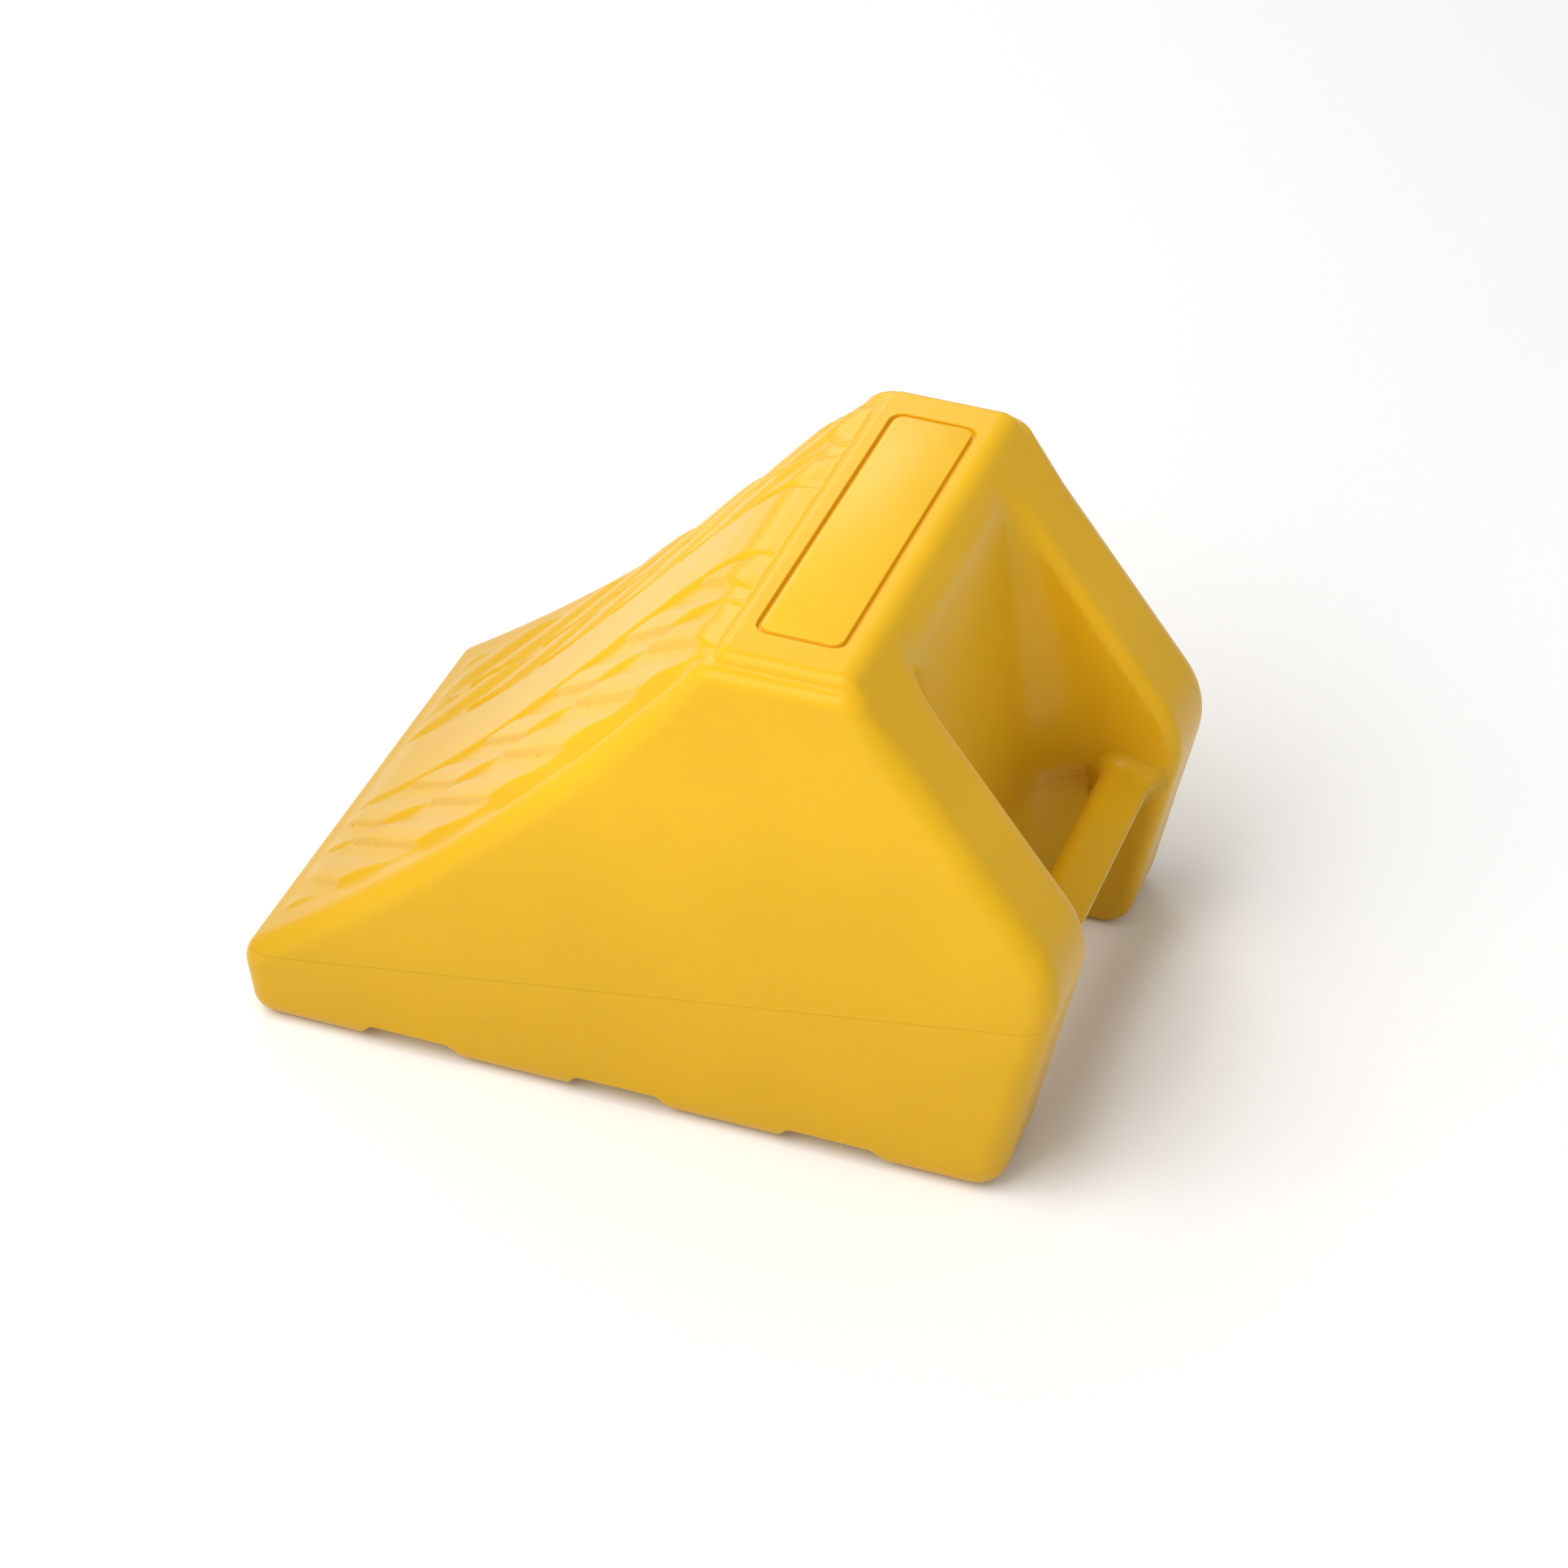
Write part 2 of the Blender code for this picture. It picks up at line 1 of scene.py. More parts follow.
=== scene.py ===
"""Looks of the wheel chock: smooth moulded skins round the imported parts, plastic, light, camera.

The skins of the two shells and the pads come from one signed distance field of the whole body,
meshed and then cut along the parting plane and the pads' top plane. All lengths in the shape
code are millimetres, and meshes are scaled to metres when they are made.
"""
from math import cos, radians, sin, tan

import bmesh
import bpy
import numpy as np
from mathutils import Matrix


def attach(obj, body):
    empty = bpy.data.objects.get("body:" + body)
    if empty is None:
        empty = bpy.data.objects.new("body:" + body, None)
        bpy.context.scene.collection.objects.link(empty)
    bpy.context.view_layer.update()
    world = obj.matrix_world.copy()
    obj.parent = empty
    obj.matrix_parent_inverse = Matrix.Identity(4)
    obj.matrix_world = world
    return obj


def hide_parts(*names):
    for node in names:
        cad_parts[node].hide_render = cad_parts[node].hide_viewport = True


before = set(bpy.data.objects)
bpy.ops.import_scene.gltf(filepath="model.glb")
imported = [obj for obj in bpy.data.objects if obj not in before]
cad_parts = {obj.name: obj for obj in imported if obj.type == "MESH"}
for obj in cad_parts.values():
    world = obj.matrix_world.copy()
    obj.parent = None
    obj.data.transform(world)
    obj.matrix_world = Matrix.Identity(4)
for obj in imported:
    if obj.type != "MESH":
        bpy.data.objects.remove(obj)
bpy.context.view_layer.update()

import openvdb
from mathutils import Vector

MM = 0.001

# ---- Shape of the body (mm) ---------------------------------------------------------------
PROFILE = [(-155.4, 0.0), (-159.2, 28.1), (29.2, 208.6), (79.1, 208.6), (161.0, 98.9),
           (141.4, 0.0)]
PROFILE_RADII = [10.5, 10.5, 9.0, 9.0, 37.0, 13.0]
FACE_HOLLOW = 9.0
NOSE_TIP = np.array(PROFILE[1])
TOP_FRONT = np.array(PROFILE[2])
HALF_WIDTH = 107.2
TAPER_REAR = 0.021
TAPER_UP = 0.038
SIDE_LEVELS = (180.0, 200.0)
SIDE_RADII = (9.5, 6.0)
PARTING_HEIGHT = 29.0
PARTING_SLOPE = 0.1624
PARTING_START = -159.2
WALL = 6.0
CAVITY_CORNER = 3.0
TOP_HEIGHT = PROFILE[2][1]
SHOULDER_HEIGHT = 204.2

# Hand hole: its front wall bends at one height, and leans, so distances to it are a little
# less than along X. Its corners in plan tighten upwards, and its lip widens at the cheeks.
HAND_HALF_WIDTH = 56.0
HAND_FLARE = 0.03
HAND_FRONT = [(99.3, 0.0), (104.8, 80.0), (87.8, 198.5)]
HAND_FRONT_LEAN = 0.99
HAND_PLAN_LEVELS = (105.0, 185.0)
HAND_PLAN_RADII = (24.0, 10.0)
HAND_LIP_PLACES = (34.0, 54.0)
HAND_LIPS = (2.0, 5.5)

# Ground pads: the gaps between them have slanting ends, and rise towards the sides so that
# they show past the rounded lower edge.
PAD_CENTRES = [-130.7, -47.2, 36.3, 119.8]
PAD_HALF = 19.5
PAD_SLOPE = 3.0
PAD_HEIGHT = 4.0
PAD_RELIEF = 4.2
PAD_RELIEF_PLACES = (92.0, 103.0)
PAD_END_LEAN = 0.8
PAD_EDGE = 1.0
PAD_REACH = 30.0

# Tread: crown height along the face, its flat middle band, then the lanes of slanting lugs.
CROWN_RUN = [8, 24, 60, 90, 120, 150, 180, 208, 230, 250, 262]
CROWN_RISE = [0.0, 2.2, 3.6, 5.4, 7.6, 9.4, 10.6, 10.6, 9.2, 6.0, 0.0]
TREAD_START = (8, 18)
TREAD_END = (252, 262)
TREAD_DEPTH = (24.0, 16.0)
BAND_HALF = 21.4
BAND_EDGE = 1.2
BAND_STEP = 1.4
BAND_FULL_CROWN = 4
LANE_EDGES = [22.0, 50.0, 83.5]
LANE_SHARES = [0.94, 0.80, 0.44]
LANE_FOOT = 2.6
# Each lane of lugs: its inner and outer edges, and how far up the face its first lug peaks.
LANES = [(24.0, 50.0, 47.0), (50.8, 83.5, 43.0)]
LUG_RISE = 2.0
LUG_PITCH = 43.4
LUG_SLANT = 1.70
LUG_FALL = 34.0
LUG_FLAT_SHARE = 0.4
LUG_WALL = 3.2
LUG_INNER_EDGE = 1.6
LUG_OUTER_EDGE = (1.1, 1.5)
LUG_FULL_CROWN = 3

# Meshing: voxel sizes, how far flat places are simplified, and how normals are taken.
VOXEL = 0.95
CAVITY_VOXEL = 2.5
BODY_ADAPTIVITY = 0.012
CAVITY_ADAPTIVITY = 0.05
BAR_ADAPTIVITY = 0.005
FIELD_BAND = 3
NORMAL_STEP = 0.8
SMOOTH_AGREEMENT = 0.75
SEAM_HALF = 0.05
PAD_TOP = 3.6

# Cap on the top, and the label plate let into it.
CAP_FRONT = 28.3
CAP_HALF = (40.0, 89.5)
CAP_CORNER = 8.0
CAP_RIM = 4.6
CAP_GROOVE = 1.1
LABEL_CENTRE_X = 54.3
LABEL_HALF = (15.0, 71.0)
LABEL_CORNER = 4.0
LABEL_GROOVE = 1.8
LABEL_DEPTH = 1.8
LABEL_MOUTH = (0.35, 0.25)
LABEL_UNDERSIDE = 0.4
CUTTER_CLEARANCE = 3.0

# Grip bar: its section in the XZ plane, and the fillet where it meets the cheeks.
BAR_SECTION = [(128.6, 72.0), (131.5, 62.3), (139.5, 62.3), (149.5, 78.0), (149.7, 80.6),
               (130.4, 87.0)]
BAR_RADII = [12.0, 5.0, 6.0, 1.0, 1.4, 7.5]
BAR_VOXEL = 0.7
BAR_FLARE = 7.0
BAR_FLARE_LIMIT = 0.93
BAR_SINK = 0.4

# Corners of the grids that the fields are worked out on.
LOW = np.array([-166.0, -114.0, -8.0])
HIGH = np.array([170.0, 114.0, 216.0])
BAR_LOW = (118.0, -60.0, 50.0)
BAR_HIGH = (160.0, 60.0, 98.0)


def round_corners(corners, radii, steps):
    """Replace each corner of a closed outline by an arc of its radius."""
    outline = []
    for index, (corner, radius) in enumerate(zip(corners, radii)):
        here = Vector(corner)
        back = (Vector(corners[index - 1]) - here).normalized()
        ahead = (Vector(corners[(index + 1) % len(corners)]) - here).normalized()
        half_angle = back.angle(ahead) / 2
        centre = here + (back + ahead).normalized() * (radius / sin(half_angle))
        start = here + back * (radius / tan(half_angle)) - centre
        end = here + ahead * (radius / tan(half_angle)) - centre
        for step in range(steps + 1):
            outline.append(tuple(centre + start.slerp(end, step / steps).normalized() * radius))
    return outline


def side_profile():
    """The body's outline in the XZ plane with its tyre face hollowed."""
    steps = 12
    outline = round_corners(PROFILE, PROFILE_RADII, steps)
    first = 2 * (steps + 1)
    low = np.array(outline[first - 1])
    high = np.array(outline[first])
    chord = high - low
    inward = np.array([chord[1], -chord[0]]) / np.linalg.norm(chord)
    arc = []
    for share in np.linspace(0.0, 1.0, 40)[1:-1]:
        sink = FACE_HOLLOW * (1 - (2 * share - 1) ** 2)
        arc.append(tuple(low + chord * share + inward * sink))
    return np.array(outline[:first] + arc + outline[first:])


def outline_distance(outline, x, z):
    """Signed distance to a closed outline, negative inside, on a grid of x and z."""
    gx, gz = np.meshgrid(x, z, indexing="ij")
    best = np.full(gx.shape, 1e9)
    inside = np.zeros(gx.shape, bool)
    for (x0, z0), (x1, z1) in zip(outline, np.roll(outline, -1, axis=0)):
        dx, dz = x1 - x0, z1 - z0
        share = np.clip(((gx - x0) * dx + (gz - z0) * dz) / (dx * dx + dz * dz), 0, 1)
        best = np.minimum(best, np.hypot(gx - x0 - share * dx, gz - z0 - share * dz))
        if z0 != z1:
            crosses = (z0 > gz) != (z1 > gz)
            inside ^= crosses & (gx < x0 + (gz - z0) * dx / dz)
    return np.where(inside, -best, best)


def round_max(a, b, radius):
    """Intersection of two fields with the edge between them rounded."""
    a = a + radius
    b = b + radius
    corner = np.hypot(np.maximum(a, 0), np.maximum(b, 0))
    return np.minimum(np.maximum(a, b), 0) + corner - radius


def smooth_min(a, b, radius):
    """Union of two fields with a soft valley between them."""
    blend = np.maximum(radius - np.abs(a - b), 0) / radius
    return np.minimum(a, b) - blend * blend * radius * 0.25


def smooth_step(low, high, value):
    """0 at low and 1 at high, with a soft rise between."""
    share = np.clip((value - low) / (high - low), 0, 1)
    return share * share * (3 - 2 * share)


def tread_height(run, across):
    """Height of the tread over the tyre face; run goes up the face, across from its middle."""
    crown = np.interp(run, CROWN_RUN, CROWN_RISE)
    y = np.abs(across)
    foot = LANE_EDGES[2]
    step = BAND_STEP * np.minimum(crown / BAND_FULL_CROWN, 1)
    floor = crown * np.interp(y, LANE_EDGES, LANE_SHARES) - step
    floor = np.maximum(floor, 0) * (1 - smooth_step(foot, foot + LANE_FOOT, y))
    height = crown + (floor - crown) * smooth_step(BAND_HALF, BAND_HALF + BAND_EDGE, y)
    for inner, outer, first_peak in LANES:
        position = (run - (first_peak + (y - outer) * LUG_SLANT)) / LUG_PITCH
        phase = (position - np.floor(position)) * LUG_PITCH
        fall = smooth_step(LUG_FLAT_SHARE * LUG_FALL, LUG_FALL, phase)
        rise = smooth_step(0, LUG_WALL, phase) * (1 - fall)
        past = smooth_step(outer - LUG_OUTER_EDGE[0], outer + LUG_OUTER_EDGE[1], y)
        reach = smooth_step(inner, inner + LUG_INNER_EDGE, y) * (1 - past)
        height = height + LUG_RISE * np.minimum(crown / LUG_FULL_CROWN, 1) * rise * reach
    return height * smooth_step(*TREAD_START, run) * (1 - smooth_step(*TREAD_END, run))


def face_place(x, z):
    """How far up the tyre face's chord a point lies, and how deep below it."""
    along = TOP_FRONT - NOSE_TIP
    along = along / np.linalg.norm(along)
    x = x - NOSE_TIP[0]
    z = z - NOSE_TIP[1]
    return x * along[0] + z * along[1], x * along[1] - z * along[0]


def hand_field(x, y, z):
    """The hand hole: behind its front wall and between its side walls."""
    (bend_x, bend_z), (top_x, top_z) = HAND_FRONT[1:]
    wall = np.interp(z, [p[1] for p in HAND_FRONT], [p[0] for p in HAND_FRONT])
    slope = (top_x - bend_x) / (top_z - bend_z)
    wall = np.where(z > top_z, top_x + slope * (z - top_z), wall)
    front = (wall - x) * HAND_FRONT_LEAN
    sides = np.abs(y) - HAND_HALF_WIDTH - HAND_FLARE * np.maximum(bend_z - z, 0)
    return round_max(front, sides, np.interp(z, HAND_PLAN_LEVELS, HAND_PLAN_RADII))


def hand_lip(y):
    """Radius of the hand hole's lip, tighter along its front wall than along the cheeks."""
    return np.interp(np.abs(y), HAND_LIP_PLACES, HAND_LIPS)


def rounded_box(across_x, across_y, half, corner):
    """Signed distance to a rectangle with round corners, in plan."""
    dx = np.abs(across_x) - half[0] + corner
    dy = np.abs(across_y) - half[1] + corner
    outside = np.hypot(np.maximum(dx, 0), np.maximum(dy, 0))
    return outside + np.minimum(np.maximum(dx, dy), 0) - corner


def grid(low, high, voxel):
    """Axes of a grid between two corners, and its x, y and z shaped to combine."""
    axes = [np.arange(low[k], high[k], voxel) for k in range(3)]
    return axes, axes[0][:, None, None], axes[1][None, :, None], axes[2][None, None, :]


def profile_field(outline, axes):
    """Field of an outline in the XZ plane carried straight across the width."""
    return outline_distance(outline, axes[0], axes[2])[:, None, :]


def side_field(x, y, z):
    """Field of the two tapering sides."""
    return np.abs(y) - (HALF_WIDTH - TAPER_REAR * (x - NOSE_TIP[0]) - TAPER_UP * z)


def body_field():
    """Field of the whole outside of the chock, and the grid that it is on."""
    axes, x, y, z = grid(LOW, HIGH, VOXEL)
    x, y, z = (values.astype(np.float32) for values in (x, y, z))
    smooth = profile_field(side_profile(), axes).astype(np.float32)
    hand = hand_field(x, y, z)
    run, depth = face_place(x, z)
    tread = tread_height(run, y + 0 * x) * smooth_step(*TREAD_DEPTH, depth)
    profile = smooth - tread.astype(np.float32)
    body = round_max(profile, side_field(x, y, z), np.interp(z, SIDE_LEVELS, SIDE_RADII))
    plan = rounded_box(x - CAP_FRONT - CAP_HALF[0], y, CAP_HALF, CAP_CORNER)
    body = round_max(body, smooth_min(z - SHOULDER_HEIGHT, plan, CAP_GROOVE), CAP_RIM)
    body = round_max(body, -hand, hand_lip(y))
    roof = PAD_HEIGHT + PAD_RELIEF * smooth_step(*PAD_RELIEF_PLACES, np.abs(y))
    slant = PAD_SLOPE / PAD_HEIGHT
    for low_pad, high_pad in zip(PAD_CENTRES, PAD_CENTRES[1:]):
        start = low_pad + PAD_HALF
        end = high_pad - PAD_HALF
        gap = np.maximum(start + slant * z - x, x - end + slant * z)
        gap = round_max(gap * PAD_END_LEAN, z - roof, PAD_EDGE)
        body = round_max(body, -gap, PAD_EDGE)
    return body.astype(np.float32), axes


def cavity_field():
    """Field of the hollow inside the two shells."""
    axes, x, y, z = grid(LOW, HIGH, CAVITY_VOXEL)
    flat = profile_field(side_profile(), axes)
    inner = round_max(flat + WALL, side_field(x, y, z) + WALL, CAVITY_CORNER)
    inner = np.maximum(inner, WALL - hand_field(x, y, z))
    return np.maximum(inner, PAD_TOP + WALL - z), axes


def bar_field():
    """Field of the grip bar, with a fillet where it meets the cheeks of the hand hole."""
    axes, x, y, z = grid(BAR_LOW, BAR_HIGH, BAR_VOXEL)
    outline = np.array(round_corners(BAR_SECTION, BAR_RADII, 8))
    section = profile_field(outline, axes) + 0 * y
    flat = profile_field(side_profile(), axes) + 0 * y
    cheek = round_max(flat, -hand_field(x, y, z), hand_lip(y))
    fillet = smooth_min(section, cheek, BAR_FLARE)
    filleted = np.maximum(fillet, section - BAR_FLARE * BAR_FLARE_LIMIT)
    return np.maximum(filleted, -cheek - BAR_SINK), axes


def field_mesh(field, axes, adaptivity):
    """Points and faces of a field's zero surface."""
    voxel = axes[0][1] - axes[0][0]
    limit = voxel * FIELD_BAND
    volume = openvdb.FloatGrid(background=float(limit))
    volume.copyFromArray(np.clip(field, -limit, limit).astype(np.float32))
    points, triangles, quads = volume.convertToPolygons(isovalue=0.0, adaptivity=adaptivity)
    faces = [tuple(face) for face in triangles] + [tuple(face) for face in quads]
    origin = np.array([axis[0] for axis in axes])
    return points * voxel + origin, faces


def sample(field, place):
    """Trilinear value of a field at fractional grid places."""
    cell = np.clip(np.floor(place).astype(int), 0, np.array(field.shape) - 2)
    share = np.clip(place - cell, 0, 1)
    total = 0
    for corner in range(8):
        offset = np.array([corner >> 2 & 1, corner >> 1 & 1, corner & 1])
        weight = np.prod(np.where(offset, share, 1 - share), axis=1)
        at = cell + offset
        total = total + weight * field[at[:, 0], at[:, 1], at[:, 2]]
    return total


def normals_at(points, field, axes):
    """Outward normals from the field's slope at each point."""
    voxel = axes[0][1] - axes[0][0]
    origin = np.array([axis[0] for axis in axes])
    place = (points - origin) / voxel
    normals = np.zeros_like(points)
    for k in range(3):
        step = np.zeros(3)
        step[k] = NORMAL_STEP
        normals[:, k] = sample(field, place + step) - sample(field, place - step)
    lengths = np.linalg.norm(normals, axis=1, keepdims=True)
    return normals / np.maximum(lengths, 1e-6)


def cut(mesh_data, point, normal):
    """Remove what lies on the normal's side of a plane, and close the cut."""
    geometry = mesh_data.verts[:] + mesh_data.edges[:] + mesh_data.faces[:]
    result = bmesh.ops.bisect_plane(mesh_data, geom=geometry, dist=1e-4, plane_co=point,
                                    plane_no=normal, clear_outer=True)
    edges = [item for item in result["geom_cut"] if isinstance(item, bmesh.types.BMEdge)]
    edges = [edge for edge in edges if edge.is_valid and edge.is_boundary]
    if edges:
        bmesh.ops.triangle_fill(mesh_data, use_beauty=True, edges=edges, normal=normal)


def piece(name, points, faces, cuts, material):
    """A mesh object from a field's surface, cut by planes."""
    mesh = bpy.data.meshes.new(name)
    mesh.from_pydata(points.tolist(), [], faces)
    mesh_data = bmesh.new()
    mesh_data.from_mesh(mesh)
    for point, normal in cuts:
        cut(mesh_data, point, normal)
    mesh_data.to_mesh(mesh)
    mesh_data.free()
    thing = bpy.data.objects.new(name, mesh)
    bpy.context.scene.collection.objects.link(thing)
    mesh.materials.append(material)
    return thing


def shade(thing, field, axes):
    """Smooth normals from the field, and flat ones on faces that the field doesn't follow."""
    mesh = thing.data
    count = len(mesh.vertices)
    points = np.empty(count * 3)
    mesh.vertices.foreach_get("co", points)
    smooth = normals_at(points.reshape(-1, 3), field, axes)
    mesh.shade_smooth()
    flat = np.empty(len(mesh.polygons) * 3)
    mesh.polygons.foreach_get("normal", flat)
    flat = flat.reshape(-1, 3)
    corners_per_face = np.empty(len(mesh.polygons), int)
    mesh.polygons.foreach_get("loop_total", corners_per_face)
    face_of_loop = np.repeat(np.arange(len(mesh.polygons)), corners_per_face)
    vertex_of_loop = np.empty(len(mesh.loops), int)
    mesh.loops.foreach_get("vertex_index", vertex_of_loop)
    loop_smooth = smooth[vertex_of_loop]
    loop_flat = flat[face_of_loop]
    agrees = np.sum(loop_smooth * loop_flat, axis=1) > SMOOTH_AGREEMENT
    chosen = np.where(agrees[:, None], loop_smooth, loop_flat)
    mesh.normals_split_custom_set(chosen.tolist())


def to_metres(thing):
    """Scale a mesh made in millimetres to metres."""
    count = len(thing.data.vertices)
    points = np.empty(count * 3)
    thing.data.vertices.foreach_get("co", points)
    thing.data.vertices.foreach_set("co", points * MM)
    thing.data.update()


# ---- Materials ----------------------------------------------------------------------------
def add_node(tree, kind, place, **values):
    """Add a shader node, and set its inputs, or its own properties, by name."""
    node = tree.nodes.new(kind)
    node.location = place
    for key, value in values.items():
        if key in node.inputs.keys():
            node.inputs[key].default_value = value
        else:
            setattr(node, key, value)
    return node


def moulded_plastic(name, colour, roughness=0.29, grain=0.06, wear=1.0):
    """Moulded polyethylene: slightly mottled colour, fine grain, faint scuffs and dust, and
    painted shade darkening it towards the bottom.
    """
    material = bpy.data.materials.new(name)
    material.use_nodes = True
    tree = material.node_tree
    shader = tree.nodes["Principled BSDF"]
    link = tree.links.new
    spot = add_node(tree, "ShaderNodeTexCoord", (-1400, 0))

    cloud = add_node(tree, "ShaderNodeTexNoise", (-1100, 300), Scale=14.0, Detail=4.0)
    link(spot.outputs["Object"], cloud.inputs["Vector"])
    mottle = add_node(tree, "ShaderNodeTexNoise", (-1100, 60), Scale=160.0, Detail=3.0)
    link(spot.outputs["Object"], mottle.inputs["Vector"])
    lighter = tuple(min(1.0, c * 1.03) for c in colour)
    darker = tuple(c * 0.96 for c in colour)
    ramp = add_node(tree, "ShaderNodeValToRGB", (-820, 300))
    ramp.color_ramp.elements[0].position = 0.3
    ramp.color_ramp.elements[0].color = (*darker, 1.0)
    ramp.color_ramp.elements[1].position = 0.7
    ramp.color_ramp.elements[1].color = (*lighter, 1.0)
    link(cloud.outputs["Fac"], ramp.inputs["Fac"])
    speck = add_node(tree, "ShaderNodeMix", (-520, 300), data_type="RGBA")
    speck.inputs[0].default_value = 0.015
    link(ramp.outputs["Color"], speck.inputs[6])
    link(mottle.outputs["Color"], speck.inputs[7])

    scuff = add_node(tree, "ShaderNodeTexNoise", (-1100, -220), Scale=38.0, Detail=6.0,
                     Distortion=1.2)
    link(spot.outputs["Object"], scuff.inputs["Vector"])
    worn = add_node(tree, "ShaderNodeMapRange", (-820, -220))
    worn.inputs["From Min"].default_value = 0.66
    worn.inputs["From Max"].default_value = 0.80
    worn.inputs["To Max"].default_value = 0.10 * wear
    link(scuff.outputs["Fac"], worn.inputs["Value"])
    dusty = add_node(tree, "ShaderNodeMix", (-260, 300), data_type="RGBA")
    dusty.inputs[7].default_value = (0.42, 0.30, 0.12, 1.0)
    link(worn.outputs["Result"], dusty.inputs[0])
    link(speck.outputs[2], dusty.inputs[6])
    # Painted shade: the colour is scaled from 0.72 at the floor up to 1.0 at 0.15 m, for the lower
    # sides getting less light.
    height = add_node(tree, "ShaderNodeSeparateXYZ", (-820, 560))
    link(spot.outputs["Object"], height.inputs["Vector"])
    painted_low_shade = add_node(tree, "ShaderNodeMapRange", (-520, 560))
    painted_low_shade.inputs["From Max"].default_value = 0.15
    painted_low_shade.inputs["To Min"].default_value = 0.72
    painted_low_shade.inputs["To Max"].default_value = 1.0
    link(height.outputs["Z"], painted_low_shade.inputs["Value"])
    shaded = add_node(tree, "ShaderNodeVectorMath", (-60, 300), operation="SCALE")
    link(dusty.outputs[2], shaded.inputs[0])
    link(painted_low_shade.outputs["Result"], shaded.inputs["Scale"])
    link(shaded.outputs["Vector"], shader.inputs["Base Color"])

    rough = add_node(tree, "ShaderNodeMapRange", (-520, -40))
    rough.inputs["To Min"].default_value = roughness - 0.05
    rough.inputs["To Max"].default_value = roughness + 0.07
    link(cloud.outputs["Fac"], rough.inputs["Value"])
    link(rough.outputs["Result"], shader.inputs["Roughness"])

    fine = add_node(tree, "ShaderNodeTexNoise", (-1100, -500), Scale=900.0, Detail=2.0)
    link(spot.outputs["Object"], fine.inputs["Vector"])
    waves = add_node(tree, "ShaderNodeTexNoise", (-1100, -760), Scale=22.0, Detail=2.0)
    link(spot.outputs["Object"], waves.inputs["Vector"])
    skin = add_node(tree, "ShaderNodeBump", (-520, -500), Strength=grain, Distance=0.0002)
    link(fine.outputs["Fac"], skin.inputs["Height"])
    sag = add_node(tree, "ShaderNodeBump", (-260, -500), Strength=0.05, Distance=0.002)
    link(waves.outputs["Fac"], sag.inputs["Height"])
    link(skin.outputs["Normal"], sag.inputs["Normal"])
    link(sag.outputs["Normal"], shader.inputs["Normal"])

    shader.inputs["Subsurface Weight"].default_value = 0.06
    shader.inputs["Subsurface Radius"].default_value = (0.010, 0.005, 0.001)
    shader.inputs["Subsurface Scale"].default_value = 0.6
    shader.inputs["Specular IOR Level"].default_value = 0.19
    return material


YELLOW = (0.86, 0.485, 0.005)
PAD_YELLOW = tuple(c * 0.97 for c in YELLOW)
# Painted shade: the bar's yellow is the body's darkened to 0.86, for the shade the hand hole's
# cheeks cast on it.
BAR_SHADED_YELLOW = tuple(c * 0.86 for c in YELLOW)
LABEL_YELLOW = (0.89, 0.515, 0.018)
RIB_NATURAL = (0.62, 0.58, 0.48)
PLUG_BLACK = (0.022, 0.021, 0.020)
upper_plastic = moulded_plastic("upper_yellow", YELLOW)
base_plastic = moulded_plastic("base_yellow", YELLOW, 0.31)
pad_plastic = moulded_plastic("pad_yellow", PAD_YELLOW, 0.55, 0.1, 2.0)
shaded_bar_plastic = moulded_plastic("bar_yellow_painted_shade", BAR_SHADED_YELLOW, 0.34)
label_plastic = moulded_plastic("label_yellow", LABEL_YELLOW, 0.30)
rib_plastic = moulded_plastic("rib_natural", RIB_NATURAL, 0.55)
plug_rubber = moulded_plastic("plug_black", PLUG_BLACK, 0.62, 0.12)

# ---- The two shells and the pads ----------------------------------------------------------
body, axes = body_field()
points, faces = field_mesh(body, axes, BODY_ADAPTIVITY)
cavity, cavity_axes = cavity_field()
cavity_points, cavity_faces = field_mesh(cavity, cavity_axes, CAVITY_ADAPTIVITY)
shell_points = np.vstack([points, cavity_points])
inner_faces = [tuple(index + len(points) for index in face[::-1]) for face in cavity_faces]
shell_faces = faces + inner_faces
seam_normal = Vector((-PARTING_SLOPE, 0.0, 1.0)).normalized()
seam_point = Vector((PARTING_START, 0.0, PARTING_HEIGHT))
above = seam_point + seam_normal * SEAM_HALF
below = seam_point - seam_normal * SEAM_HALF
floor_point = Vector((0.0, 0.0, PAD_TOP))
up = Vector((0.0, 0.0, 1.0))

upper = piece("chock_upper", shell_points, shell_faces, [(above, -seam_normal)], upper_plastic)
base = piece("chock_base", shell_points, shell_faces, [(below, seam_normal), (floor_point, -up)],
             base_plastic)


def plate_mesh(name, levels, growth):
    """A plate with round corners: (height, outward step) for each of its rings."""
    mesh_data = bmesh.new()
    rings = []
    for height, step in levels:
        half_x = LABEL_HALF[0] + growth + step
        half_y = LABEL_HALF[1] + growth + step
        corners = [(-half_x, -half_y), (half_x, -half_y), (half_x, half_y), (-half_x, half_y)]
        outline = round_corners(corners, [LABEL_CORNER + growth + step] * 4, 8)
        rings.append([mesh_data.verts.new((LABEL_CENTRE_X + px, py, height))
                      for px, py in outline])
    mesh_data.faces.new(rings[0])
    mesh_data.faces.new(rings[-1])
    for ring, after in zip(rings, rings[1:]):
        for index in range(len(ring)):
            mesh_data.faces.new((ring[index - 1], ring[index], after[index], after[index - 1]))
    bmesh.ops.recalc_face_normals(mesh_data, faces=mesh_data.faces)
    mesh = bpy.data.meshes.new(name)
    mesh_data.to_mesh(mesh)
    mesh_data.free()
    thing = bpy.data.objects.new(name, mesh)
    bpy.context.scene.collection.objects.link(thing)
    return thing


